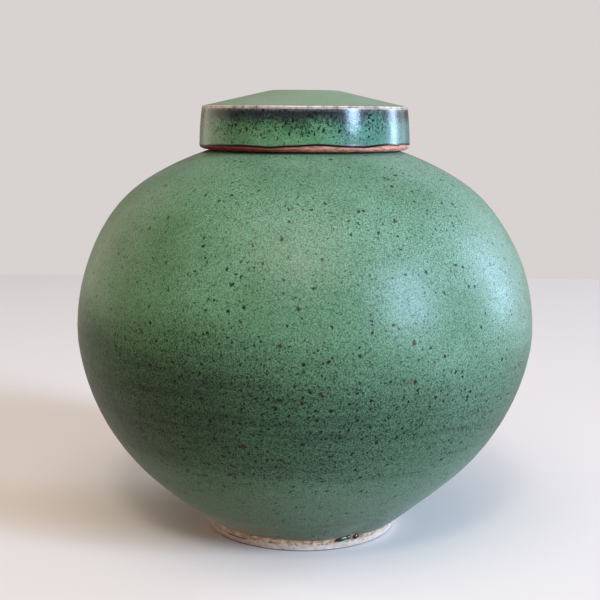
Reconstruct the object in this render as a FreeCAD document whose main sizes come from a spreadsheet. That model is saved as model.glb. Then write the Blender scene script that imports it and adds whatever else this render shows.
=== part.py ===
"""Ginger jar: a round thrown stoneware jar, and a cap lid that drops over its collar.

Millimetres, +Z up. The origin is the centre of the ring that the foot stands on.
Both pieces are turned round the Z axis from half-sections: x is the radius, y is the height.
"""

import FreeCAD, Part
import Sketcher
import math
import os

# name, millimetres (degrees for an angle), what it is
DIMENSIONS = (
    ("belly_radius", 110.3, "the jar's widest radius"),
    ("belly_height", 100.9, "height of the widest place above the table"),
    ("belly_arc_radius", 59.6, "section of the wall just below the widest place"),
    ("belly_arc_angle", 8.9, "how far round that arc goes"),
    ("haunch_arc_radius", 106.4, "section of the wall below the belly"),
    ("haunch_arc_angle", 38.6, "how far round that arc goes"),
    ("taper_arc_radius", 322.0, "section of the nearly straight wall down to the foot"),
    ("upper_arc_radius", 92.4, "section of the wall above the widest place"),
    ("upper_arc_angle", 36.9, "how far round that arc goes"),
    ("shoulder_arc_radius", 64.3, "section of the wall where it turns in over the shoulder"),
    ("shoulder_arc_angle", 21.3, "how far round that arc goes"),
    ("neck_arc_radius", 132.0, "section of the flatter wall in to the collar"),
    ("foot_height", 7.0, "height of the unglazed foot, up to the wall"),
    ("foot_bevel_radius", 47.1, "radius of the foot at the top of its bevel"),
    ("foot_bevel_height", 3.9, "height of the bevel, which lifts the foot's edge off the table"),
    ("foot_contact_radius", 46.0, "outer radius of the ring that touches the table"),
    ("foot_recess_radius", 38.0, "inner radius of that ring"),
    ("foot_recess_top_radius", 36.5, "radius of the recess where it meets the floor"),
    ("foot_recess_depth", 4.0, "depth of the recess turned under the floor"),
    ("foot_rounding", 0.6, "rounding of both edges of the ring that touches the table"),
    ("wall_thickness", 5.5, "wall of the belly and the shoulder"),
    ("floor_height", 11.0, "height of the inside floor above the table"),
    ("floor_rounding", 9.0, "rounding between the floor and the wall"),
    ("mouth_radius", 38.5, "clear radius of the mouth"),
    ("mouth_rounding", 3.0, "rounding where the mouth opens into the shoulder"),
    ("collar_radius", 43.0, "outer radius of the collar"),
    ("collar_top_height", 201.0, "height of the collar's flat rim, where the lid rests"),
    ("collar_root_rounding", 1.3, "rounding between the shoulder and the collar"),
    ("rim_rounding", 1.0, "rounding of both edges of the rim"),
    ("lid_radius", 50.3, "the lid's widest radius"),
    ("lid_widest_height", 192.0, "height of the lid's widest place"),
    ("lid_side_arc_radius", 103.0, "slight swelling of the lid's side"),
    ("lid_bottom_height", 186.1, "height of the skirt's lower edge"),
    ("lid_edge_height", 206.4, "height of the edge between the lid's side and its cone"),
    ("lid_top_height", 214.0, "height of the flat disc on top"),
    ("lid_disc_radius", 16.3, "radius of the flat disc on top"),
    ("skirt_inner_radius", 44.5, "inside of the skirt, clear of the collar"),
    ("ceiling_cone_radius", 36.5, "inside of the flat ring that rests on the rim"),
    ("ceiling_top_radius", 14.0, "radius of the ceiling's flat middle"),
    ("ceiling_top_height", 207.8, "height of the ceiling's flat middle"),
    ("skirt_outer_rounding", 2.2, "rounding of the skirt's lower edge, outside"),
    ("skirt_inner_rounding", 2.6, "rounding of the skirt's lower edge, inside"),
    ("lid_edge_rounding", 0.9, "rounding of the edge between the side and the cone"),
    ("lid_disc_rounding", 12.0, "softening of the disc's edge"),
    ("ceiling_rounding", 1.0, "rounding between the skirt and the ceiling"),
)
ARCS_BELOW = ("belly", "haunch", "taper")  # the wall's arcs, down from its widest place
ARCS_ABOVE = ("upper", "shoulder", "neck")  # and up from it
SHEET = "dimensions"
SECTION_ORIGIN = (-1, 1)  # Sketcher's own numbers for a sketch's origin
SECTION_AXIS = -2  # and for its upright axis
START, END, CENTRE = 1, 2, 3
EDGE_TOLERANCE = 0.02
OVERSHOOT = 5.0  # how far a hollow's section runs past the clay that it cuts

document = FreeCAD.newDocument("ginger_jar")
sheet = document.addObject("Spreadsheet::Sheet", SHEET)
for row, (alias, value, meaning) in enumerate(DIMENSIONS, start=1):
    sheet.set(f"A{row}", meaning)
    sheet.set(f"B{row}", str(value))
    sheet.setAlias(f"B{row}", alias)
document.recompute()


def size(alias):
    """A driving dimension, read back from the sheet."""
    return float(sheet.get(alias))


def bound(alias):
    """The expression that reads a driving dimension."""
    return f"{SHEET}.{alias}"


class Section:
    """A closed half-section on a body's XZ plane, walked anticlockwise from the axis and back."""

    def __init__(self, body, name):
        plane = next(f for f in body.Origin.OriginFeatures if f.Role == "XZ_Plane")
        self.sketch = body.newObject("Sketcher::SketchObject", name)
        self.sketch.AttachmentSupport = [(plane, "")]
        self.sketch.MapMode = "FlatFace"

    def rule(self, *arguments):
        return self.sketch.addConstraint(Sketcher.Constraint(*arguments))

    def sized_rule(self, name, expression, *arguments):
        """Adds a rule whose value follows an expression."""
        index = self.rule(*arguments)
        self.sketch.renameConstraint(index, name)
        self.sketch.setExpression(f"Constraints.{name}", expression)

    def line(self, start, end):
        """A straight piece, held level or upright if that is how it is drawn."""
        ends = [FreeCAD.Vector(across, up, 0) for across, up in (start, end)]
        piece = self.sketch.addGeometry(Part.LineSegment(*ends), False)
        if start[1] == end[1]:
            self.rule("Horizontal", piece)
        if start[0] == end[0]:
            self.rule("Vertical", piece)
        return piece

    def lines(self, *points):
        """Straight pieces from each point to the next, joined end to end."""
        pieces = [self.line(start, end) for start, end in zip(points, points[1:])]
        self.join(*pieces)
        return pieces

    def arc(self, centre, radius, start_angle, end_angle):
        circle = Part.Circle(FreeCAD.Vector(*centre, 0), FreeCAD.Vector(0, 0, 1), radius)
        return self.sketch.addGeometry(Part.ArcOfCircle(circle, start_angle, end_angle), False)

    def join(self, *pieces):
        """Joins each piece's end to the next one's start."""
        for piece, following in zip(pieces, pieces[1:]):
            self.rule("Coincident", piece, END, following, START)

    def join_smoothly(self, *pieces):
        for piece, following in zip(pieces, pieces[1:]):
            self.rule("Tangent", piece, END, following, START)

    def place(self, piece, end, across=None, up=None):
        """Holds a point of a piece at a radius, a height or both, which the sheet names."""
        for kind, alias in (("DistanceX", across), ("DistanceY", up)):
            if alias:
                name = f"{alias}_{piece}_{end}"
                self.sized_rule(name, bound(alias), kind, *SECTION_ORIGIN, piece, end, size(alias))

    def close(self, first, last):
        """Starts and ends the section on the axis."""
        self.rule("PointOnObject", first, START, SECTION_AXIS)
        self.rule("Coincident", last, END, first, START)

    def finish(self):
        document.recompute()
        if not self.sketch.FullyConstrained:
            raise RuntimeError(f"{self.sketch.Name} is not fully constrained")
        return self.sketch


def new_body(name):
    body = document.addObject("PartDesign::Body", name)
    body.Label = name
    return body


def turn(body, kind, name, section):
    """Turns a section round Z. A Revolution adds its clay, and a Groove takes it away."""
    before = body.Shape.Volume if body.Tip else 0.0
    feature = body.newObject(f"PartDesign::{kind}", name)
    feature.Profile = section
    feature.ReferenceAxis = (section, ["V_Axis"])
    feature.Angle = 360
    document.recompute()
    gained = body.Shape.Volume - before
    if (gained > 0) != (kind == "Revolution"):
        raise RuntimeError(f"{name} changed the volume by {gained:.1f}")


def round_edges(body, name, rounding, *circles):
    """Rounds the body's circular edges at these (radius, height) pairs."""
    names = []
    for radius, height in circles:
        found = [
            f"Edge{number}"
            for number, edge in enumerate(body.Shape.Edges, start=1)
            if isinstance(edge.Curve, Part.Circle)
            and abs(edge.Curve.Radius - radius) < EDGE_TOLERANCE
            and abs(edge.Curve.Center.z - height) < EDGE_TOLERANCE
        ]
        if len(found) != 1:
            raise RuntimeError(f"{name}: {len(found)} edges at radius {radius}, height {height}")
        names += found
    sharp = body.Tip
    fillet = body.newObject("PartDesign::Fillet", name)
    fillet.Base = (sharp, names)
    fillet.Radius = size(rounding)
    fillet.setExpression("Radius", bound(rounding))
    document.recompute()


def wall_arcs(section, inset, lowest, highest):
    """The jar's wall, as smoothly joined arcs from the foot up to the collar.

    inset moves the wall inwards: 0 for the outside. lowest is the height where the first arc
    starts, and highest the radius where the last one ends. Returns the first and the last
    arc, and those two places.
    """
    narrower = f" - {bound('wall_thickness')}" if inset else ""
    arcs = {}
    ends = []
    for names, direction in ((ARCS_BELOW, -1), (ARCS_ABOVE, 1)):
        centre = FreeCAD.Vector(size("belly_radius") - inset, size("belly_height"))
        angle, radius = 0.0, 0.0
        for name in names:
            # The next arc's centre lies on the line through the joint and the last centre.
            outwards = FreeCAD.Vector(math.cos(angle), math.sin(angle))
            centre += outwards * radius
            radius = size(f"{name}_arc_radius") - inset
            centre -= outwards * radius
            if name != names[-1]:
                end = angle + direction * math.radians(size(f"{name}_arc_angle"))
            elif direction < 0:
                end = math.asin((lowest - centre.y) / radius)
            else:
                end = math.acos((highest - centre.x) / radius)
            arc = section.arc((centre.x, centre.y), radius, min(angle, end), max(angle, end))
            alias = f"{name}_arc_radius"
            section.sized_rule(alias, bound(alias) + narrower, "Radius", arc, radius)
            if name != names[-1]:
                alias = f"{name}_arc_angle"
                section.sized_rule(alias, bound(alias), "Angle", arc, abs(end - angle))
            arcs[name] = arc
            angle = end
        ends.append((centre.x + radius * math.cos(angle), centre.y + radius * math.sin(angle)))
    section.join_smoothly(*(arcs[name] for name in ARCS_BELOW[::-1] + ARCS_ABOVE))
    widest = ("DistanceX", *SECTION_ORIGIN, arcs["belly"], END, size("belly_radius") - inset)
    section.sized_rule("belly_radius", bound("belly_radius") + narrower, *widest)
    section.place(arcs["belly"], CENTRE, up="belly_height")
    section.place(arcs["upper"], CENTRE, up="belly_height")
    return arcs["taper"], arcs["neck"], (ends[0][0], lowest), (highest, ends[1][1])


def jar_outside(body):
    """The jar as a solid lump: foot, wall and collar."""
    section = Section(body, "jar_outline")
    taper, neck, foot_top, collar_root = wall_arcs(
        section, 0.0, size("foot_height"), size("collar_radius")
    )
    base, bevel, foot_side = section.lines(
        (0, 0),
        (size("foot_contact_radius"), 0),
        (size("foot_bevel_radius"), size("foot_bevel_height")),
        foot_top,
    )
    collar_side, rim, axis = section.lines(
        collar_root,
        (size("collar_radius"), size("collar_top_height")),
        (0, size("collar_top_height")),
        (0, 0),
    )
    section.join(foot_side, taper)
    section.join(neck, collar_side)
    section.rule("Coincident", base, START, *SECTION_ORIGIN)
    section.rule("Coincident", axis, END, *SECTION_ORIGIN)
    section.place(base, END, across="foot_contact_radius")
    section.place(bevel, END, across="foot_bevel_radius", up="foot_bevel_height")
    section.place(taper, START, up="foot_height")
    section.place(collar_side, END, across="collar_radius", up="collar_top_height")
    turn(body, "Revolution", "jar_lump", section.finish())
    return collar_root


def jar_inside(body):
    """The hollow: a flat floor, the wall's inside, and the straight mouth."""
    section = Section(body, "jar_hollow_outline")
    taper, neck, floor_edge, mouth_foot = wall_arcs(
        section, size("wall_thickness"), size("floor_height"), size("mouth_radius")
    )
    above = size("collar_top_height") + OVERSHOOT
    floor = section.line((0, size("floor_height")), floor_edge)
    mouth, lid_of_hollow, axis = section.lines(
        mouth_foot,
        (size("mouth_radius"), above),
        (0, above),
        (0, size("floor_height")),
    )
    section.join(floor, taper)
    section.join(neck, mouth)
    section.close(floor, axis)
    section.place(floor, START, up="floor_height")
    section.place(mouth, END, across="mouth_radius")
    overshoot = f"{bound('collar_top_height')} + {OVERSHOOT}"
    section.sized_rule("overshoot", overshoot, "DistanceY", *SECTION_ORIGIN, mouth, END, above)
    turn(body, "Groove", "jar_hollow", section.finish())
    return floor_edge, mouth_foot


def foot_recess(body):
    """The shallow recess turned under the floor, which leaves the foot ring."""
    section = Section(body, "foot_recess_outline")
    opening, side, roof, axis = section.lines(
        (0, 0),
        (size("foot_recess_radius"), 0),
        (size("foot_recess_top_radius"), size("foot_recess_depth")),
        (0, size("foot_recess_depth")),
        (0, 0),
    )
    section.rule("Coincident", opening, START, *SECTION_ORIGIN)
    section.rule("Coincident", axis, END, *SECTION_ORIGIN)
    section.place(opening, END, across="foot_recess_radius")
    section.place(side, END, across="foot_recess_top_radius", up="foot_recess_depth")
    turn(body, "Groove", "foot_recess", section.finish())


def make_jar():
    body = new_body("jar_body")
    collar_root = jar_outside(body)
    floor_edge, mouth_foot = jar_inside(body)
    foot_recess(body)
    rim_height = size("collar_top_height")
    rim_edges = ((size("collar_radius"), rim_height), (size("mouth_radius"), rim_height))
    foot_edges = ((size("foot_contact_radius"), 0.0), (size("foot_recess_radius"), 0.0))
    round_edges(body, "floor_round", "floor_rounding", floor_edge)
    round_edges(body, "mouth_round", "mouth_rounding", mouth_foot)
    round_edges(body, "collar_root_round", "collar_root_rounding", collar_root)
    round_edges(body, "rim_round", "rim_rounding", *rim_edges)
    round_edges(body, "foot_round", "foot_rounding", *foot_edges)
    return body


def lid_side_radius(height):
    """Radius of the lid's swelling side at a height."""
    arc_radius = size("lid_side_arc_radius")
    drop = height - size("lid_widest_height")
    return size("lid_radius") - arc_radius + math.sqrt(arc_radius**2 - drop**2)


def lid_outside(body):
    """The lid as a solid lump: level underside, swelling side, low cone and flat disc."""
    section = Section(body, "lid_outline")
    bottom, top, edge = size("lid_bottom_height"), size("lid_top_height"), size("lid_edge_height")
    widest = size("lid_widest_height")
    arc_radius = size("lid_side_arc_radius")
    side = section.arc(
        (size("lid_radius") - arc_radius, widest),
        arc_radius,
        math.asin((bottom - widest) / arc_radius),
        math.asin((edge - widest) / arc_radius),
    )
    underside = section.line((0, bottom), (lid_side_radius(bottom), bottom))
    cone, disc, axis = section.lines(
        (lid_side_radius(edge), edge),
        (size("lid_disc_radius"), top),
        (0, top),
        (0, bottom),
    )
    section.join(underside, side, cone)
    section.close(underside, axis)
    section.place(underside, START, up="lid_bottom_height")
    section.place(side, CENTRE, up="lid_widest_height")
    section.place(side, END, up="lid_edge_height")
    section.sized_rule("side_arc", bound("lid_side_arc_radius"), "Radius", side, arc_radius)
    section.sized_rule(
        "side_centre",
        f"{bound('lid_side_arc_radius')} - {bound('lid_radius')}",
        *("DistanceX", side, CENTRE, *SECTION_ORIGIN, arc_radius - size("lid_radius")),
    )
    section.place(cone, END, across="lid_disc_radius", up="lid_top_height")
    turn(body, "Revolution", "lid_lump", section.finish())


def lid_inside(body):
    """The hollow: the skirt's inside, a flat ring to rest on the rim, and a coned ceiling."""
    section = Section(body, "lid_hollow_outline")
    below = size("lid_bottom_height") - OVERSHOOT
    rest_height, ceiling_height = size("collar_top_height"), size("ceiling_top_height")
    opening, skirt, rest, cone, ceiling, axis = section.lines(
        (0, below),
        (size("skirt_inner_radius"), below),
        (size("skirt_inner_radius"), rest_height),
        (size("ceiling_cone_radius"), rest_height),
        (size("ceiling_top_radius"), ceiling_height),
        (0, ceiling_height),
        (0, below),
    )
    section.close(opening, axis)
    overshoot = f"{bound('lid_bottom_height')} - {OVERSHOOT}"
    section.sized_rule("overshoot", overshoot, "DistanceY", *SECTION_ORIGIN, opening, END, below)
    section.place(skirt, END, across="skirt_inner_radius", up="collar_top_height")
    section.place(rest, END, across="ceiling_cone_radius")
    section.place(cone, END, across="ceiling_top_radius", up="ceiling_top_height")
    turn(body, "Groove", "lid_hollow", section.finish())


def make_lid():
    body = new_body("lid")
    lid_outside(body)
    lid_inside(body)
    bottom, edge = size("lid_bottom_height"), size("lid_edge_height")
    skirt = size("skirt_inner_radius")
    disc_edge = (size("lid_disc_radius"), size("lid_top_height"))
    round_edges(body, "disc_round", "lid_disc_rounding", disc_edge)
    round_edges(body, "edge_round", "lid_edge_rounding", (lid_side_radius(edge), edge))
    round_edges(body, "skirt_outer_round", "skirt_outer_rounding", (lid_side_radius(bottom), bottom))
    round_edges(body, "skirt_inner_round", "skirt_inner_rounding", (skirt, bottom))
    round_edges(body, "ceiling_round", "ceiling_rounding", (skirt, size("collar_top_height")))
    return body


def check(pieces):
    """Stops if anything in the document failed, or if a piece is not one sound solid."""
    for thing in document.Objects:
        if {"Invalid", "Error"} & set(thing.State):
            raise RuntimeError(f"{thing.Name} is {thing.State}")
    for piece in pieces:
        shape = piece.Shape
        if shape.isNull() or not shape.isValid() or len(shape.Solids) != 1:
            raise RuntimeError(f"{piece.Label} is not one sound solid")


pieces = [make_jar(), make_lid()]
document.recompute()
check(pieces)
os.makedirs("parts", exist_ok=True)
for piece in pieces:
    piece.Shape.exportStep(f"parts/{piece.Label}.step")
    box = piece.Shape.BoundBox
    print(f"{piece.Label}: {piece.Shape.Volume / 1000:.1f} cm3, height {box.ZMin:.2f} to {box.ZMax:.2f}")
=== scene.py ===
"""The looks of a ginger jar: a speckled copper-green stoneware jar and its cap lid.

Metres, +Z up, in the CAD part's frame. The jar and the lid are turned meshes: a half-section
of (radius, height) points swept round Z, with the small faults of a thrown and glazed pot.
"""

import math

import bmesh
import bpy
import numpy as np
from mathutils import Euler, Matrix, Vector


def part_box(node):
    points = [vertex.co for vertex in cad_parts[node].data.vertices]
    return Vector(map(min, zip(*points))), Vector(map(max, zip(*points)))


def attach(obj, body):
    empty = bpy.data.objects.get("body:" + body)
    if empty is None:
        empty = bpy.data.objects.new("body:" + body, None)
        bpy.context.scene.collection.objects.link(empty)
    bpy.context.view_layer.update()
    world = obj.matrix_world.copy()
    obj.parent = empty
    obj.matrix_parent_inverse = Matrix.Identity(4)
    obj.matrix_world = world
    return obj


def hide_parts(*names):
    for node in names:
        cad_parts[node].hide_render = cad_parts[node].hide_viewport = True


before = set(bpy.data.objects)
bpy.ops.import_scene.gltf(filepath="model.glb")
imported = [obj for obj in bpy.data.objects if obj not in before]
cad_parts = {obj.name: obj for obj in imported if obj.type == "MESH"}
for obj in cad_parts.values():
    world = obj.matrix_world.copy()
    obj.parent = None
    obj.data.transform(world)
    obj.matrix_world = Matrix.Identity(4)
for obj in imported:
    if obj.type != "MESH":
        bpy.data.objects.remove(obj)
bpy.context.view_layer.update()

MM = 0.001

# The jar's section, as in the CAD part.
BELLY_RADIUS = 110.3 * MM
BELLY_HEIGHT = 100.9 * MM
# Its arcs, outwards from the widest place: (radius, degrees), where the last one runs on.
ARCS_BELOW = ((59.6 * MM, 8.9), (106.4 * MM, 38.6), (322.0 * MM, None))
ARCS_ABOVE = ((92.4 * MM, 36.9), (64.3 * MM, 21.3), (132.0 * MM, None))
WALL = 5.5 * MM
FLOOR_HEIGHT = 11.0 * MM
MOUTH_RADIUS = 38.5 * MM
COLLAR_RADIUS = 43.0 * MM
FOOT_HEIGHT = 7.0 * MM
FOOT_BEVEL_RADIUS = 47.1 * MM
FOOT_BEVEL_HEIGHT = 3.9 * MM
FOOT_CONTACT_RADIUS = 46.0 * MM
FOOT_RECESS_RADIUS = 38.0 * MM
FOOT_RECESS_TOP_RADIUS = 36.5 * MM
FOOT_RECESS_DEPTH = 4.0 * MM

# The lid's section.
LID_RADIUS = 50.3 * MM
LID_WIDEST_HEIGHT = 192.0 * MM
LID_SIDE_ARC = 103.0 * MM
LID_EDGE_HEIGHT = 206.4 * MM
LID_DISC_RADIUS = 16.3 * MM
SKIRT_INNER_RADIUS = 44.5 * MM
CEILING_CONE_RADIUS = 36.5 * MM
CEILING_TOP_RADIUS = 14.0 * MM
CEILING_TOP_HEIGHT = 207.8 * MM

RIM_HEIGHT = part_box("jar_body")[1][2]
LID_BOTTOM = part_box("lid")[0][2]
LID_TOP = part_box("lid")[1][2]

SEGMENTS = 320  # round each turned mesh
CORNER_PIECES = 6  # along each rounded corner of a section
FINE_STEP = 0.35 * MM  # between a section's points near the foot, where the glaze has its edge
WALL_STEP = 1.6 * MM  # and over the rest of the jar's outside
INSIDE_STEP = 3.0 * MM
TOP_STEP = 1.0 * MM  # over the collar and the lid
FINE_ZONE = 8 * MM  # how far up the wall the fine step goes
JAR_GLAZE_THICKNESS = 0.4 * MM
LID_GLAZE_THICKNESS = 0.3 * MM


# ---------------------------------------------------------------- half-sections

def arc(centre, radius, start, end, step):
    """Points along an arc, from one angle to another, about step apart."""
    count = max(2, round(abs(end - start) * radius / step))
    angles = np.linspace(start, end, count + 1)
    return [(centre[0] + radius * math.cos(a), centre[1] + radius * math.sin(a)) for a in angles]


def run(start, end, step):
    """Points along a straight run, about step apart, without its two ends."""
    count = max(1, round(math.dist(start, end) / step))
    return [
        (start[0] + (end[0] - start[0]) * i / count, start[1] + (end[1] - start[1]) * i / count)
        for i in range(1, count)
    ]


def rounded(before, corner, after, rounding):
    """A corner between two straight runs, rounded with a tangent arc."""
    corner = Vector(corner)
    back = (Vector(before) - corner).normalized()
    ahead = (Vector(after) - corner).normalized()
    half = back.angle(ahead) / 2
    centre = corner + (back + ahead).normalized() * (rounding / math.sin(half))
    start = corner + back * (rounding / math.tan(half)) - centre
    end = corner + ahead * (rounding / math.tan(half)) - centre
    first = math.atan2(start.y, start.x)
    sweep = math.atan2(start.x * end.y - start.y * end.x, start.dot(end))
    angles = [first + sweep * i / CORNER_PIECES for i in range(CORNER_PIECES + 1)]
    return [(centre.x + rounding * math.cos(a), centre.y + rounding * math.sin(a)) for a in angles]


def outline(corners, step):
    """Straight runs between corners given as (radius, height) or (radius, height, rounding)."""
    points = [corners[0][:2]]
    for i in range(1, len(corners)):
        place = corners[i][:2]
        new = [place]
        if len(corners[i]) == 3:
            new = rounded(corners[i - 1][:2], place, corners[i + 1][:2], corners[i][2])
        points += run(points[-1], new[0], step) + new
    return points


def wall_arcs(inset, lowest, highest, step):
    """The jar's wall from a height to a radius, moved inwards by inset."""
    halves = []
    for arcs, direction in ((ARCS_BELOW, -1), (ARCS_ABOVE, 1)):
        centre = Vector((BELLY_RADIUS - inset, BELLY_HEIGHT))
        angle, radius, points = 0.0, 0.0, []
        for outer_radius, degrees in arcs:
            # The next arc's centre lies on the line through the joint and the last centre.
            outwards = Vector((math.cos(angle), math.sin(angle)))
            centre += outwards * radius
            radius = outer_radius - inset
            centre -= outwards * radius
            if degrees:
                end = angle + direction * math.radians(degrees)
            elif direction < 0:
                end = math.asin((lowest - centre.y) / radius)
            else:
                end = math.acos((highest - centre.x) / radius)
            points += arc(centre, radius, angle, end, step)[1:]
            angle = end
        halves.append(points)
    return halves[0][::-1] + [(BELLY_RADIUS - inset, BELLY_HEIGHT)] + halves[1]


def jar_section():
    """The jar, from under its floor up its outside to the rim and down its inside.

    Also returns the numbers of the points where its glaze starts and stops outside, and
    where it starts again inside.
    """
    wall = wall_arcs(0, FOOT_HEIGHT, COLLAR_RADIUS, WALL_STEP)
    low_wall = [spot for spot in wall if spot[1] < FOOT_HEIGHT + FINE_ZONE]
    fine_wall = outline(low_wall, FINE_STEP)
    foot = outline([
        (0, FOOT_RECESS_DEPTH),
        (FOOT_RECESS_TOP_RADIUS, FOOT_RECESS_DEPTH, 1.0 * MM),
        (FOOT_RECESS_RADIUS, 0, 0.7 * MM),
        (FOOT_CONTACT_RADIUS, 0, 0.7 * MM),
        (FOOT_BEVEL_RADIUS, FOOT_BEVEL_HEIGHT, 0.4 * MM),
        wall[0],
    ], FINE_STEP)
    collar = outline([
        wall[-2],
        (COLLAR_RADIUS, wall[-1][1], 1.2 * MM),
        (COLLAR_RADIUS, RIM_HEIGHT, 1.0 * MM),
        (MOUTH_RADIUS + 2 * MM, RIM_HEIGHT),
    ], TOP_STEP)
    inner_wall = wall_arcs(WALL, FLOOR_HEIGHT + 3 * MM, MOUTH_RADIUS, INSIDE_STEP)[::-1]
    inside = outline([
        (MOUTH_RADIUS + 2 * MM, RIM_HEIGHT),
        (MOUTH_RADIUS, RIM_HEIGHT, 1.0 * MM),
        (MOUTH_RADIUS, inner_wall[0][1], 1.5 * MM),
        *inner_wall[1:],
        (inner_wall[-1][0] - 4 * MM, FLOOR_HEIGHT + 0.4 * MM),
        (inner_wall[-1][0] - 9 * MM, FLOOR_HEIGHT),
        (0, FLOOR_HEIGHT),
    ], INSIDE_STEP)
    outside = foot + fine_wall[1:] + wall[len(low_wall):-2]
    # Inside, the glaze starts again where the rim's inner rounding ends.
    marks = (len(foot), len(outside) - 1, len(outside) + len(collar) + CORNER_PIECES)
    return outside + collar + inside[1:], marks


def lid_section():
    """The lid, from the middle of its ceiling down the skirt, up the side and over the cone."""
    centre = (LID_RADIUS - LID_SIDE_ARC, LID_WIDEST_HEIGHT)
    low = math.asin((LID_BOTTOM - LID_WIDEST_HEIGHT) / LID_SIDE_ARC)
    high = math.asin((LID_EDGE_HEIGHT - LID_WIDEST_HEIGHT) / LID_SIDE_ARC)
    side = arc(centre, LID_SIDE_ARC, low, high, 0.5 * MM)
    start = next(i for i, spot in enumerate(side) if spot[1] > LID_BOTTOM + 2.4 * MM)
    end = next(i for i, spot in enumerate(side) if spot[1] > LID_EDGE_HEIGHT - 0.9 * MM)
    under = outline([
        (0, CEILING_TOP_HEIGHT),
        (CEILING_TOP_RADIUS, CEILING_TOP_HEIGHT, 3.0 * MM),
        (CEILING_CONE_RADIUS, RIM_HEIGHT, 1.0 * MM),
        (SKIRT_INNER_RADIUS, RIM_HEIGHT, 1.0 * MM),
        (SKIRT_INNER_RADIUS, LID_BOTTOM, 2.6 * MM),
        (side[0][0], LID_BOTTOM, 2.2 * MM),
        side[start],
    ], TOP_STEP)
    top = outline([
        side[end],
        (side[-1][0], LID_EDGE_HEIGHT, 0.8 * MM),
        (LID_DISC_RADIUS, LID_TOP, 12 * MM),
        (0, LID_TOP),
    ], TOP_STEP)
    return under + side[start + 1:end] + top


# ---------------------------------------------------------------- turned meshes

def along(section):
    """How far each point of a section is from its first one, along it."""
    steps = np.hypot(*np.diff(np.array(section), axis=0).T)
    return np.concatenate([[0.0], np.cumsum(steps)])


def smooth(value, low, high):
    """0 below low, 1 above high, and a soft S between."""
    t = np.clip((value - low) / (high - low), 0, 1)
    return t * t * (3 - 2 * t)


def bump(value, middle, width):
    """1 at the middle, fading to nothing a few widths away."""
    return np.exp(-(((value - middle) / width) ** 2))


def wave(angle, terms):
    """A wavering line round the pot: the sum of (size, lobes, phase) terms."""
    return sum(size * np.sin(lobes * angle + phase) for size, lobes, phase in terms)


def turned(name, section, shape, fields, slots):
    """Sweeps a section round Z. Its first and last points lie on the axis.

    shape(radius, height, angle) returns the swept points' x, y and z. fields are numbers that
    the materials read by name, and slots the number of the material, one per section point.
    """
    section = np.array(section)
    rings = section[1:-1]
    angle = np.arange(SEGMENTS) * (2 * math.pi / SEGMENTS)
    radius, height, around = rings[:, :1], rings[:, 1:], angle[None, :]
    points = np.stack(np.broadcast_arrays(*shape(radius, height, around)), axis=-1)
    ends = [(0, 0, section[0][1]), (0, 0, section[-1][1])]
    verts = np.concatenate([points.reshape(-1, 3), ends])

    first, last = len(verts) - 2, len(verts) - 1
    faces, face_slots = [], []
    for i in range(len(rings) - 1):
        for j in range(SEGMENTS):
            k = (j + 1) % SEGMENTS
            a, b = i * SEGMENTS, (i + 1) * SEGMENTS
            faces.append((a + j, a + k, b + k, b + j))
            face_slots.append(slots[i + 1])
    top = (len(rings) - 1) * SEGMENTS
    for j in range(SEGMENTS):
        k = (j + 1) % SEGMENTS
        faces.append((first, k, j))
        face_slots.append(slots[0])
        faces.append((last, top + j, top + k))
        face_slots.append(slots[-1])

    mesh = bpy.data.meshes.new(name)
    mesh.from_pydata(verts.tolist(), [], faces)
    mesh.polygons.foreach_set("material_index", face_slots)
    mesh.polygons.foreach_set("use_smooth", [True] * len(faces))
    for field, values in fields.items():
        spread = np.repeat(values[1:-1], SEGMENTS)
        layer = mesh.attributes.new(field, "FLOAT", "POINT")
        layer.data.foreach_set("value", np.append(spread, values[[0, -1]]).astype(np.float32))
    mesh.validate()
    piece = bpy.data.objects.new(name, mesh)
    bpy.context.collection.objects.link(piece)
    return piece


# ---------------------------------------------------------------- the jar's shape

# The wavering edge of the glaze: (size, lobes round the pot, phase).
FOOT_EDGE_WAVE = (
    (0.25 * MM, 2, 0.6), (0.2 * MM, 5, 2.1), (0.1 * MM, 9, 4.4), (0.08 * MM, 17, 1.0),
    (0.05 * MM, 31, 3.0),
)
LID_EDGE_WAVE = (
    (0.3 * MM, 3, 2.2), (0.14 * MM, 7, 5.0), (0.1 * MM, 15, 1.7), (0.06 * MM, 29, 2.4),
)
FRONT = -math.pi / 2
CRAWL = 28  # degrees round from the front, where the glaze drew back from the foot
LID_LINE = LID_BOTTOM + 2.5 * MM


def from_front(angle):
    """How far round from the front an angle is, in degrees, positive to the right."""
    return np.degrees((angle - FRONT + math.pi) % (2 * math.pi) - math.pi)


def foot_edge(angle):
    """How much higher than usual the glaze stops above the foot."""
    place = from_front(angle)
    dips = 0.45 * bump(place, 8, 11) - 0.3 * bump(place, -22, 12)
    crawl = bump(place, CRAWL, 9)
    return wave(angle, FOOT_EDGE_WAVE) + (1.0 * crawl - dips - 0.3) * MM


def lid_edge(angle):
    """How much higher than usual the glaze stops above the lid's lower edge."""
    place = from_front(angle)
    rise = smooth(place, -22, 0) * (1 - smooth(place, 75, 110))
    peaks = 0.7 * bump(place, 7, 6) + 0.5 * bump(place, 48, 7)
    return wave(angle, LID_EDGE_WAVE) + (0.75 * rise + peaks - 1.4) * MM


def roll(above):
    """The glaze's thickness just above its edge, as a share: a fat rounded roll, then thinner."""
    return smooth(above, -0.05 * MM, 0.55 * MM) * (1 + 0.35 * bump(above, 1.0 * MM, 0.7 * MM))


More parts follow.
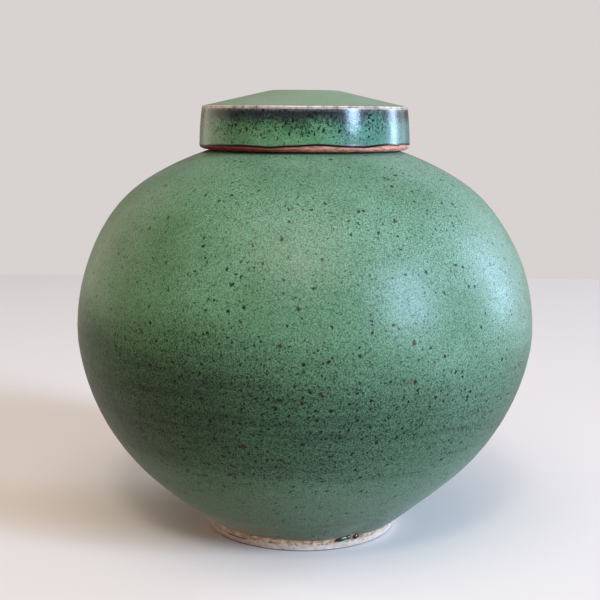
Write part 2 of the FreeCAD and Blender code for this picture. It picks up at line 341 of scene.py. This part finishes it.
def jar_shape(radius, height, angle):
    """A thrown jar: not quite round or centred, faintly ringed, and thicker where it is glazed."""
    outer = (radius > COLLAR_RADIUS + 0.5 * MM) & (height < RIM_HEIGHT - 15 * MM)
    glazed = JAR_GLAZE_THICKNESS * roll(height - FOOT_HEIGHT) * (1 - smooth(height, 12 * MM, 34 * MM))
    near_foot = smooth(height, FOOT_BEVEL_HEIGHT, FOOT_HEIGHT)
    near_foot = near_foot * (1 - smooth(height, FOOT_HEIGHT + 1 * MM, FOOT_HEIGHT + 14 * MM))
    belly = smooth(height, 30 * MM, 100 * MM) * (1 - smooth(height, 125 * MM, 160 * MM))
    low = smooth(height, 4 * MM, 12 * MM) * (1 - smooth(height, 22 * MM, 48 * MM))
    rings = 0.04 * np.sin(height / (1.15 * MM) + angle) * np.sin(height / (9 * MM))
    oval = 0.25 * np.cos(2 * angle + 0.7)
    oval = oval * smooth(height, 15 * MM, 90 * MM) * (1 - smooth(height, 150 * MM, 185 * MM))
    wide = radius + outer * ((rings + oval) * MM + glazed)
    x = wide * np.cos(angle) + outer * (0.8 * belly - 0.45 * low) * MM
    y = wide * np.sin(angle)
    return x, y, height + outer * near_foot * foot_edge(angle)


def lid_shape(radius, height, angle):
    """A thrown lid, a little out of round, with a fat wavering edge to its glaze."""
    side = (radius > LID_RADIUS - 3 * MM) & (height < LID_EDGE_HEIGHT - 1 * MM)
    glazed = LID_GLAZE_THICKNESS * roll(height - LID_LINE) * (1 - smooth(height, LID_LINE, 203 * MM))
    near_edge = smooth(height, LID_BOTTOM + 0.6 * MM, LID_LINE)
    near_edge = near_edge * (1 - smooth(height, LID_LINE + 1 * MM, LID_LINE + 11 * MM))
    wide = radius + side * glazed + 0.1 * MM * np.cos(2 * angle + 2.0)
    x, y = wide * np.cos(angle), wide * np.sin(angle)
    return x, y, height + side * near_edge * lid_edge(angle)


def jar_fields(section, marks):
    """How many millimetres each point of the section is inside the glaze's edge."""
    far = along(section)
    starts, stops, starts_inside = (far[mark] for mark in marks)
    inside = np.arange(len(section)) > marks[1] + (marks[2] - marks[1]) // 2
    edge = np.where(inside, far - starts_inside, np.minimum(far - starts, stops - far))
    return {"glaze_edge": edge / MM}


def lid_fields(section):
    """How many millimetres each point is above the glaze's lower edge, and past the rim's edge."""
    far = along(section)
    side = np.array([r > LID_RADIUS - 2.3 * MM for r, _ in section])
    line = far[np.argmax(side & np.array([z > LID_LINE for _, z in section]))]
    crest = far[np.argmax(side & np.array([z > LID_EDGE_HEIGHT - 0.3 * MM for _, z in section]))]
    return {"glaze_edge": (far - line) / MM, "past_rim": (far - crest) / MM}


# ---------------------------------------------------------------- materials

def srgb(red, green, blue):
    """A colour given as 0 to 255 screen values, as the linear one that shaders take."""
    shares = [value / 255 for value in (red, green, blue)]
    linear = [v / 12.92 if v < 0.04045 else ((v + 0.055) / 1.055) ** 2.4 for v in shares]
    return (*linear, 1.0)


class Recipe:
    """One material's nodes, measured in millimetres on the pot.

    Wherever a value is asked for, it is a plain number or colour, or another node's output.
    """

    def __init__(self, name):
        self.material = bpy.data.materials.new(name)
        self.material.use_nodes = True
        self.tree = self.material.node_tree
        self.shader = self.tree.nodes["Principled BSDF"]
        metres = self.node("ShaderNodeTexCoord").outputs["Object"]
        self.place = self.vector("MULTIPLY", metres, (1 / MM,) * 3)
        self.across, y, self.height = self.node("ShaderNodeSeparateXYZ", {0: self.place}).outputs
        turn = self.maths("ARCTAN2", self.across, self.times(y, -1.0))
        self.azimuth = self.maths("DEGREES", turn)
        jitter = self.node("ShaderNodeTexNoise", {"Vector": self.place, "Scale": 0.9, "Detail": 1.0})
        shift = self.vector("SUBTRACT", jitter.outputs["Color"], (0.5, 0.5, 0.5))
        self.warped = self.vector("MULTIPLY_ADD", shift, (1.6, 1.6, 1.6), self.place)

    def node(self, kind, inputs=None, **settings):
        """A new node, with its settings, and its inputs given by name or number."""
        made = self.tree.nodes.new(kind)
        for name, value in settings.items():
            setattr(made, name, value)
        for socket, value in (inputs or {}).items():
            self.feed(made.inputs[socket], value)
        return made

    def feed(self, socket, value):
        """Links a node's output to a socket, or sets the socket to a plain value."""
        if isinstance(value, bpy.types.NodeSocket):
            self.tree.links.new(value, socket)
        else:
            socket.default_value = value

    def maths(self, operation, *values):
        return self.node("ShaderNodeMath", dict(enumerate(values)), operation=operation).outputs[0]

    def vector(self, operation, *values):
        made = self.node("ShaderNodeVectorMath", dict(enumerate(values)), operation=operation)
        return made.outputs[0]

    def times(self, first, *others):
        for value in others:
            first = self.maths("MULTIPLY", first, value)
        return first

    def plus(self, first, *others):
        for value in others:
            first = self.maths("ADD", first, value)
        return first

    def field(self, name):
        """A number that the mesh carries at its points."""
        return self.node("ShaderNodeAttribute", attribute_name=name).outputs["Fac"]

    def ramp(self, value, low, high, start=0.0, end=1.0):
        """start at low, end at high, and a soft S between."""
        inputs = {0: value, 1: low, 2: high, 3: start, 4: end}
        made = self.node("ShaderNodeMapRange", inputs, interpolation_type="SMOOTHSTEP")
        return made.outputs[0]

    def near(self, value, middle, full, none):
        """1 within full of the middle, fading to 0 at none away from it."""
        away = self.maths("ABSOLUTE", self.maths("SUBTRACT", value, middle))
        return self.ramp(away, none, full)

    def noise(self, size, detail=2.0, stretch=(1, 1, 1), seed=0, rough=0.5):
        """Soft noise with features of about a size. A stretch over 1 makes them shorter that way."""
        shares = [share / size for share in stretch]
        offset = (7.3 * seed, 3.1 * seed, 5.7 * seed)
        place = self.vector("MULTIPLY_ADD", self.place, shares, offset)
        inputs = {"Vector": place, "Scale": 1.0, "Detail": detail, "Roughness": rough}
        return self.node("ShaderNodeTexNoise", inputs).outputs["Fac"]

    def spots(self, radius, spacing, share, seed=0, stretch=(1, 1, 1), soft=0.6):
        """Scattered uneven spots. share is how many of the cells, one per spacing, hold one."""
        shares = [part / spacing for part in stretch]
        offset = (2.9 * seed, 8.3 * seed, 4.7 * seed)
        place = self.vector("MULTIPLY_ADD", self.warped, shares, offset)
        cells = self.node("ShaderNodeTexVoronoi", {"Vector": place, "Scale": 1.0})
        size, choice, _ = self.node("ShaderNodeSeparateXYZ", {0: cells.outputs["Color"]}).outputs
        reach = self.maths("MULTIPLY_ADD", size, 0.8 * radius / spacing, 0.55 * radius / spacing)
        spot = self.ramp(self.maths("DIVIDE", cells.outputs["Distance"], reach), 1.0, soft)
        return self.times(spot, self.maths("LESS_THAN", choice, share))

    def mix(self, share, first, second):
        """The first colour, turning into the second as share goes from 0 to 1."""
        inputs = {0: share, 6: first, 7: second}
        return self.node("ShaderNodeMix", inputs, data_type="RGBA").outputs[2]

    def shade(self, colour, factor):
        """A colour made darker or brighter."""
        return self.node("ShaderNodeHueSaturation", {"Color": colour, "Value": factor}).outputs[0]

    def finish(self, colour, roughness, relief=None, depth=0.1, shine=0.5):
        """Fills in the shader. relief is a height from 0 to 1, and depth its size in mm."""
        self.shader.inputs["Specular IOR Level"].default_value = shine
        self.feed(self.shader.inputs["Base Color"], colour)
        self.feed(self.shader.inputs["Roughness"], roughness)
        if relief:
            inputs = {"Height": relief, "Distance": depth * MM, "Strength": 1.0}
            bump_node = self.node("ShaderNodeBump", inputs)
            self.feed(self.shader.inputs["Normal"], bump_node.outputs["Normal"])
        return self.material


def jar_glaze():
    """Satin-matte copper green with iron specks, over pale stoneware that stays bare at the foot."""
    r = Recipe("jar_glaze")
    edge = r.field("glaze_edge")
    grain = r.noise(0.62, 2.0, rough=0.6)
    clouds = r.noise(42.0, 3.0, seed=1)

    # Its colour: more olive on the left and cooler on the right, painted light; a darker streaky zone
    # round the haunch, partly painted shade; duller below it.
    # Painted light: darker, warmer olive on the left, where the light is dim and warm, and lighter, cooler
    # green on the right, where the blue window lamps shine.
    shaded_left_olive = r.mix(r.ramp(clouds, 0.35, 0.65), srgb(66, 98, 60), srgb(78, 111, 74))
    lit_right_cool = r.mix(r.ramp(clouds, 0.35, 0.65), srgb(80, 110, 85), srgb(92, 121, 99))
    green = r.mix(r.ramp(r.across, -105, 75), shaded_left_olive, lit_right_cool)
    # Painted shade: the zone under the belly is darkened where it turns down, away from the lamps, most on
    # the left and least on the right; its streaks and specks are the glaze's own.
    higher = r.plus(r.height, r.ramp(r.across, -60, 80, 0.0, 20.0))
    haunch_glaze_and_shade = r.times(r.ramp(r.height, 32, 62), r.ramp(higher, 130, 92))
    haunch_glaze_and_shade = r.times(haunch_glaze_and_shade, r.ramp(clouds, 0.3, 0.6, 0.75, 1.0), r.ramp(r.across, -40, 95, 1.0, 0.5))
    low = r.ramp(r.height, 58, 32)
    dark = r.mix(r.ramp(r.across, -90, 60), srgb(36, 52, 26), srgb(34, 62, 44))
    green = r.mix(r.times(haunch_glaze_and_shade, 0.9), green, dark)
    bands = r.noise(60.0, 3.0, stretch=(1, 1, 16), seed=2)
    wisps = r.noise(22.0, 3.0, stretch=(1, 1, 9), seed=11)
    streaks = r.times(haunch_glaze_and_shade, r.ramp(r.plus(bands, r.times(wisps, 0.6)), 0.72, 0.98))
    green = r.mix(r.times(streaks, 0.4), green, srgb(18, 28, 18))
    # Painted light over the glaze's own duller tone low down: darker on the left and lighter on the right.
    dull_low_and_shade = r.mix(r.ramp(r.across, -60, 60), srgb(58, 76, 54), srgb(74, 104, 82))
    green = r.mix(r.times(low, 0.65), green, dull_low_and_shade)
    darkest = r.plus(r.times(haunch_glaze_and_shade, -0.2), 0.5)
    lightest = r.plus(r.times(haunch_glaze_and_shade, 0.3), 1.46)
    green = r.shade(green, r.ramp(grain, 0.3, 0.7, darkest, lightest))

    # Iron specks, thickest in that zone and few above the foot.
    patches = r.ramp(r.noise(16.0, 2.0, seed=3), 0.35, 0.65, 0.2, 0.55)
    share = r.times(r.plus(patches, r.times(streaks, 0.6), r.times(haunch_glaze_and_shade, 0.65)),
                    r.ramp(low, 0.0, 1.0, 1.0, 0.5))
    fine = r.spots(0.5, 1.3, share, seed=1)
    medium = r.spots(0.75, 2.8, r.plus(r.times(share, 0.7), r.times(low, 0.35)), seed=2)
    green = r.mix(r.times(fine, r.plus(r.times(haunch_glaze_and_shade, 0.25), 0.62)), green, srgb(10, 20, 10))
    green = r.mix(r.times(medium, 0.9), green, srgb(6, 9, 5))
    heavy = r.plus(r.times(haunch_glaze_and_shade, 0.22), r.times(low, 0.1), 0.12)
    coarse = r.spots(0.95, 5.0, heavy, seed=3, soft=0.5)
    rust = r.spots(1.15, 9.0, 0.32, seed=4, stretch=(1, 1, 0.7), soft=0.4)
    pale = r.spots(1.3, 38.0, 0.2, seed=5, soft=0.4)
    green = r.mix(r.times(coarse, 0.95), green, r.mix(grain, srgb(6, 6, 4), srgb(30, 16, 12)))
    green = r.mix(r.times(rust, 0.9), green, r.mix(grain, srgb(20, 4, 3), srgb(64, 24, 18)))
    green = r.mix(r.times(pale, 0.8), green, srgb(160, 146, 118))
    scratches = r.times(r.ramp(r.noise(12.0, 3.0, stretch=(1, 1, 14), seed=6), 0.54, 0.66),
                        r.near(r.height, 15, 3, 8))
    green = r.mix(r.times(scratches, 0.85), green, srgb(80, 66, 58))

    # On the left, towards the foot, the glaze turns browner.
    browner_low_left = r.times(r.ramp(r.height, 24, 8), r.ramp(r.across, 0, -42))
    green = r.mix(r.times(browner_low_left, 0.65), green, srgb(124, 112, 92))

    # The bare clay: tan, flashed orange against the glaze, and whiter on the bevel.
    mottle = r.noise(2.4, 3.0, seed=7)
    clay = r.mix(r.ramp(mottle, 0.3, 0.7), srgb(158, 128, 100), srgb(208, 184, 156))
    bevel = r.ramp(r.height, 3.7, 2.9)
    clay = r.mix(r.times(bevel, 0.85), clay, r.mix(mottle, srgb(172, 150, 138), srgb(220, 200, 188)))
    clay = r.mix(r.ramp(r.height, 30, 60, 0.0, 0.75), clay, srgb(190, 166, 140))
    turning = r.ramp(r.noise(7.0, 3.0, stretch=(1, 1, 22), seed=12), 0.54, 0.68)
    clay = r.mix(r.times(turning, 0.5), clay, srgb(110, 88, 72))
    clay = r.mix(r.times(r.ramp(edge, -1.2, -0.4), r.ramp(mottle, 0.25, 0.55, 0.6, 1.0)),
                 clay, srgb(162, 76, 32))
    crawled = r.times(r.near(r.azimuth, CRAWL, 8, 12), r.near(r.height, 6.5, 1.7, 2.6))
    clay = r.mix(r.times(crawled, 0.85), clay, r.mix(mottle, srgb(96, 52, 44), srgb(178, 122, 106)))
    ring = r.times(r.near(r.height, 3.3, 0.4, 0.9), 0.4)
    pits = r.times(r.spots(0.5, 1.5, r.plus(ring, 0.4), seed=8), r.ramp(r.height, 30, 12, 0.3, 1.0))
    clay = r.mix(r.times(pits, r.ramp(r.height, 2.4, 4.4, 0.45, 0.9)), clay, srgb(84, 56, 38))
    # Painted shade: a short dark line on the left stands for the shadow in a small turned groove, which
    # the shape doesn't have.
    groove_shadow = r.times(r.near(r.height, 3.1, 0.14, 0.4), r.near(r.azimuth, -41, 5, 9))
    clay = r.mix(groove_shadow, clay, srgb(54, 40, 32))
    # Painted shade: the bottom of the foot, where it meets the floor, is darkened.
    clay = r.mix(r.ramp(r.height, 0.75, 0.3, 0.0, 0.8), clay, srgb(74, 58, 48))

    colour = r.mix(r.ramp(edge, -0.08, 0.1), clay, green)
    rim = r.times(r.near(edge, 0.15, 0.2, 0.6), r.ramp(mottle, 0.3, 0.55, 0.55, 1.0))
    colour = r.mix(rim, colour, srgb(38, 28, 20))

    glazed = r.ramp(edge, -0.1, 0.1)
    satin = r.plus(r.ramp(r.noise(5.0, 2.0, seed=9), 0.3, 0.7, 0.33, 0.39), r.times(low, 0.08))
    roughness = r.plus(r.times(glazed, satin), r.times(r.maths("SUBTRACT", 1.0, glazed), 0.85))
    relief = r.plus(r.times(grain, 0.6), r.times(r.noise(2.6, 1.0, seed=10), 0.8),
                    r.times(medium, -0.4), r.times(coarse, -0.8))
    # A faint sheen lifts the edges, as a satin-matte surface does.
    r.shader.inputs["Sheen Weight"].default_value = 0.1
    r.shader.inputs["Sheen Roughness"].default_value = 0.4
    return r.finish(colour, roughness, relief, 0.09, shine=0.25)


def inside_glaze():
    """The same glaze where it pooled inside: darker and glossier."""
    r = Recipe("inside_glaze")
    tone = r.noise(24.0, 3.0, seed=1)
    green = r.mix(tone, srgb(48, 78, 54), srgb(76, 112, 82))
    green = r.shade(green, r.ramp(r.noise(0.9), 0.25, 0.75, 0.85, 1.15))
    green = r.mix(r.times(r.spots(0.8, 3.4, 0.4, seed=2), 0.8), green, srgb(24, 32, 22))
    green = r.mix(r.spots(1.4, 14.0, 0.25, seed=3), green, srgb(78, 42, 30))
    rings = r.noise(40.0, 2.0, stretch=(0.2, 0.2, 8), seed=4)
    return r.finish(green, 0.28, rings, 0.3)


def lid_glaze():
    """A glossier side that breaks from charcoal to green, a matte cone, and a bare red-brown hem."""
    r = Recipe("lid_glaze")
    edge = r.field("glaze_edge")
    past_rim = r.field("past_rim")
    depth = r.times(past_rim, -1.0)
    grain = r.noise(0.8, 2.0)
    clouds = r.noise(10.0, 3.0, seed=1)

    # The side, down from its rim: mauve, charcoal, dense specks, then clear green.
    green = r.mix(r.ramp(clouds, 0.35, 0.65), srgb(54, 90, 58), srgb(78, 114, 78))
    # Painted light: the side is painted bluer green on the right, where the blue window lamps shine.
    green = r.mix(r.times(r.ramp(r.across, -5, 30), 0.7), green, srgb(72, 116, 104))
    green = r.mix(r.times(r.ramp(depth, 9, 14), r.ramp(r.across, 20, -15), 0.45), green, srgb(92, 132, 94))
    green = r.shade(green, r.ramp(grain, 0.25, 0.75, 0.7, 1.3))
    ragged = r.plus(depth, r.times(r.noise(1.6, 3.0, stretch=(1, 1, 0.6), seed=2), 3.0),
                    r.times(clouds, 5.0), -4.0)
    burnt = r.mix(r.noise(2.4, 3.0, stretch=(1, 1, 0.5), seed=3), srgb(8, 14, 16), srgb(44, 48, 52))
    burnt = r.mix(r.ramp(depth, 2.8, 0.8, 0.0, 0.75), burnt, srgb(112, 102, 100))
    gap = r.times(r.near(r.azimuth, 40, 3, 9), 3.5)
    side = r.mix(r.ramp(r.plus(ragged, gap), 9.0, 3.2), green, burnt)
    share = r.ramp(ragged, 15.0, 6.5, 0.08, 1.0)
    fine = r.spots(0.45, 0.8, share, seed=1, stretch=(1, 1, 0.7))
    medium = r.spots(0.65, 1.7, r.times(share, 0.8), seed=2, stretch=(1, 1, 0.7))
    side = r.mix(r.times(fine, 0.85), side, srgb(14, 24, 18))
    side = r.mix(r.times(medium, 0.95), side, srgb(10, 12, 10))
    side = r.mix(r.spots(1.0, 9.0, 0.3, seed=3), side, srgb(70, 50, 38))
    # Painted reflection: the lid's left edge is painted pale grey-green with tall streaks, where the
    # glossy side mirrors the room.
    reflection_streaks = r.noise(1.6, 3.0, stretch=(1, 1, 0.08), seed=4)
    left_edge_reflection = r.times(r.ramp(r.across, -38, -49), r.ramp(reflection_streaks, 0.3, 0.6, 0.15, 0.65))
    side = r.mix(left_edge_reflection, side, srgb(114, 120, 102))
    # Painted light: low on the right the side is painted blue-grey, the tint of the blue window lamps.
    right_window_tint = r.times(r.ramp(r.across, 26, 46), r.ramp(depth, 5, 12), 0.6)
    side = r.mix(right_window_tint, side, srgb(70, 90, 88))

    # Its lower edge: a thick dark line under a purple-grey halo, widest on one hump.
    hump = r.near(r.azimuth, 27, 2, 9)
    halo = r.times(r.ramp(edge, r.plus(1.5, r.times(hump, 1.8)), 0.5), r.plus(0.45, r.times(hump, 0.4)))
    side = r.mix(halo, side, srgb(88, 80, 90))
    side = r.mix(r.ramp(edge, 1.3, 0.7), side, srgb(12, 10, 10))

    # The cone: sage, with greyer patches, and a dark line behind the rim.
    cone = r.mix(r.ramp(r.noise(11.0, 4.0, seed=5), 0.45, 0.62), srgb(108, 126, 100), srgb(116, 126, 108))
    cone = r.shade(cone, r.ramp(grain, 0.25, 0.75, 0.9, 1.1))
    cone = r.mix(r.times(r.spots(0.6, 4.0, 0.3, seed=6), 0.4), cone, srgb(70, 84, 66))
    cone = r.mix(r.near(past_rim, 0.75, 0.15, 0.5), cone, srgb(70, 78, 66))
    colour = r.mix(r.ramp(past_rim, 0.1, 0.5), side, cone)

    # The rim, where the glaze ran thin: a cream line with a few iron dots.
    cream = r.mix(r.noise(1.8, 3.0, seed=7), srgb(172, 148, 134), srgb(222, 206, 192))
    cream = r.mix(r.spots(0.55, 3.2, 0.2, seed=7), cream, srgb(134, 74, 54))
    worn = r.ramp(r.noise(2.8, 3.0, stretch=(1, 1, 0.3), seed=12), 0.3, 0.55, 0.25, 0.9)
    colour = r.mix(r.times(r.near(past_rim, -0.3, 0.4, 1.1), worn), colour, cream)

    # The bare hem and underside: redder and darker on the left, paler on the right, partly painted light
    # over the clay's own red-brown, shaded on the left and lit on the right.
    hem = r.mix(r.ramp(r.across, -36, 28), srgb(118, 38, 26), srgb(188, 126, 106))
    hem = r.shade(hem, r.ramp(r.noise(1.6, 3.0, stretch=(0.5, 0.5, 2), seed=8), 0.3, 0.7, 0.6, 1.35))
    hem = r.mix(r.times(r.spots(0.4, 2.0, 0.3, seed=9), 0.7), hem, srgb(84, 44, 32))
    bare = r.ramp(edge, 0.1, -0.1)
    colour = r.mix(bare, colour, hem)

    matte = r.ramp(past_rim, -0.4, 0.8)
    gloss = r.ramp(matte, 0.0, 1.0, 0.2, 0.5)
    roughness = r.plus(r.times(r.maths("SUBTRACT", 1.0, bare), gloss), r.times(bare, 0.8))
    relief = r.plus(r.times(grain, 0.5), r.times(r.noise(3.0, 1.0, seed=10), 0.8))
    return r.finish(colour, roughness, relief, 0.05, shine=0.35)


def bead_glaze():
    """Thick glossy glaze, nearly black where it is deepest."""
    r = Recipe("bead_glaze")
    tone = r.ramp(r.noise(1.8, 2.0, seed=1), 0.35, 0.65)
    colour = r.mix(tone, srgb(14, 26, 18), srgb(58, 96, 70))
    return r.finish(colour, 0.25)


# ---------------------------------------------------------------- the set

CAMERA_DISTANCE = 575.6 * MM
CAMERA_HEIGHT = 202.8 * MM
CAMERA_DOWN = math.radians(8.945)  # how far it looks down
CAMERA_LEAN = math.radians(0.45)  # how far it leans to one side
CAMERA_SWING = math.radians(0.155)  # how far it looks away from the axis
SENSOR_WIDTH = 36.0  # millimetres
LENS = 70.9  # its focal length, in millimetres

LAMP_AIM = (0, 0, 0.12)  # the point that every lamp faces
FLOOR_SIDE = 1.8
WINDOW_BLUE = (0.48, 0.69, 1.0)
LAMP_WARM = (1.0, 0.91, 0.8)
# Name, azimuth and elevation in degrees, distance, width and height in metres, colour, watts.
LAMPS = (
    ("window_near", 54, 21.5, 4.0, 0.75, 2.0, WINDOW_BLUE, 290),
    ("window_far", 112, 14, 4.0, 0.85, 2.2, WINDOW_BLUE, 116),
    ("ceiling", -8, 58, 2.2, 1.8, 1.8, LAMP_WARM, 33),
    ("skylight", -5, 47, 3.0, 0.45, 0.5, (1.0, 0.95, 0.88), 22),
    ("left_wall", -118, 18, 3.0, 3.0, 2.2, LAMP_WARM, 19),
    ("right_wall", 118, 10, 3.0, 2.6, 2.2, (0.8, 0.9, 1.0), 22),
)


def add_camera():
    """The camera's place: in front, just under the lid's edge, looking a little down."""
    data = bpy.data.cameras.new("camera")
    data.sensor_width = SENSOR_WIDTH
    data.lens = LENS
    camera = bpy.data.objects.new("camera", data)
    camera.location = (0, -CAMERA_DISTANCE, CAMERA_HEIGHT)
    camera.rotation_mode = "XYZ"
    level = Euler((math.pi / 2 - CAMERA_DOWN, 0, CAMERA_SWING)).to_matrix()
    camera.rotation_euler = (level @ Euler((0, 0, CAMERA_LEAN)).to_matrix()).to_euler()
    bpy.context.collection.objects.link(camera)
    bpy.context.scene.camera = camera


def add_softbox(name, azimuth, elevation, distance, width, height, colour, power):
    """A soft rectangular lamp aimed at the jar. Azimuth is round from the front, to the right."""
    data = bpy.data.lights.new(name, "AREA")
    data.shape = "RECTANGLE"
    data.size = width
    data.size_y = height
    data.color = colour
    data.energy = power
    lamp = bpy.data.objects.new(name, data)
    a, e = math.radians(azimuth), math.radians(elevation)
    towards = Vector((math.sin(a) * math.cos(e), -math.cos(a) * math.cos(e), math.sin(e)))
    lamp.location = Vector(LAMP_AIM) + towards * distance
    lamp.rotation_mode = "QUATERNION"
    lamp.rotation_quaternion = towards.to_track_quat("Z", "Y")
    lamp.visible_camera = False
    bpy.context.collection.objects.link(lamp)


def add_set():
    """A pale floor, pale surroundings and soft studio lamps.

    The camera sees a pale backdrop, and the pot is lit by a dimmer, warmer one. Reflections
    leave the floor out, so its mirror image doesn't grey the dark lower wall.
    """
    world = bpy.data.worlds.new("surroundings")
    world.use_nodes = True
    nodes, links = world.node_tree.nodes, world.node_tree.links
    room = nodes["Background"]
    room.inputs["Color"].default_value = (1.0, 0.9, 0.78, 1.0)
    room.inputs["Strength"].default_value = 0.32
    wall = nodes.new("ShaderNodeBackground")
    wall.inputs["Color"].default_value = srgb(216, 210, 208)
    seen = nodes.new("ShaderNodeLightPath")
    either = nodes.new("ShaderNodeMixShader")
    links.new(seen.outputs["Is Camera Ray"], either.inputs[0])
    links.new(room.outputs[0], either.inputs[1])
    links.new(wall.outputs[0], either.inputs[2])
    links.new(either.outputs[0], nodes["World Output"].inputs["Surface"])
    bpy.context.scene.world = world
    bpy.context.scene.view_settings.view_transform = "Standard"

    bpy.ops.mesh.primitive_plane_add(size=FLOOR_SIDE)
    floor = bpy.context.object
    floor.name = "floor"
    paint = bpy.data.materials.new("pale_floor")
    paint.use_nodes = True
    shader = paint.node_tree.nodes["Principled BSDF"]
    shader.inputs["Base Color"].default_value = srgb(211, 200, 193)
    shader.inputs["Roughness"].default_value = 0.55
    floor.data.materials.append(paint)
    floor.visible_glossy = False

    for lamp in LAMPS:
        add_softbox(*lamp)


BEAD_RADIUS = 48.1 * MM  # how far the beads' middles are from the pot's axis
# Azimuth in degrees, height, half its length round the foot, half its height and half its
# thickness in millimetres, and tilt in degrees.
BEADS = (
    (23.6, 5.6, 3.7, 1.15, 0.9, 7.0),
    (27.2, 6.0, 1.9, 1.2, 1.0, 12.0),
    (32.6, 5.6, 1.7, 1.3, 0.9, 10.0),
)


def add_beads():
    """Three beads of glaze that ran off the edge, and stand on the bare foot where it drew back."""
    mesh = bpy.data.meshes.new("foot_glaze_beads")
    build = bmesh.new()
    for azimuth, height, length, tall, thick, tilt in BEADS:
        turn = math.radians(azimuth)
        outwards = Vector((math.sin(turn), -math.cos(turn), 0))
        place = outwards * BEAD_RADIUS + Vector((0, 0, height * MM))
        facing = Matrix.Rotation(turn, 4, "Z") @ Matrix.Rotation(math.radians(-tilt), 4, "Y")
        stretch = Matrix.Diagonal((length * MM, thick * MM, tall * MM, 1))
        matrix = Matrix.Translation(place) @ facing @ stretch
        bmesh.ops.create_uvsphere(build, u_segments=24, v_segments=16, radius=1, matrix=matrix)
    for face in build.faces:
        face.smooth = True
    build.to_mesh(mesh)
    build.free()
    beads = bpy.data.objects.new("foot_glaze_beads", mesh)
    bpy.context.collection.objects.link(beads)
    beads.data.materials.append(bead_glaze())
    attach(beads, "jar")


def add_jar():
    """The jar, glazed outside and in. It stands for the CAD's jar_body."""
    section, marks = jar_section()
    slots = [int(i > marks[2]) for i in range(len(section))]
    jar = turned("jar", section, jar_shape, jar_fields(section, marks), slots)
    jar.data.materials.append(jar_glaze())
    jar.data.materials.append(inside_glaze())
    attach(jar, "jar")
    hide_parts("jar_body")


def add_lid():
    """The lid, which stands for the CAD's lid."""
    section = lid_section()
    lid = turned("lid_cap", section, lid_shape, lid_fields(section), [0] * len(section))
    lid.data.materials.append(lid_glaze())
    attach(lid, "lid")
    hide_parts("lid")


add_camera()
add_set()
add_jar()
add_beads()
add_lid()
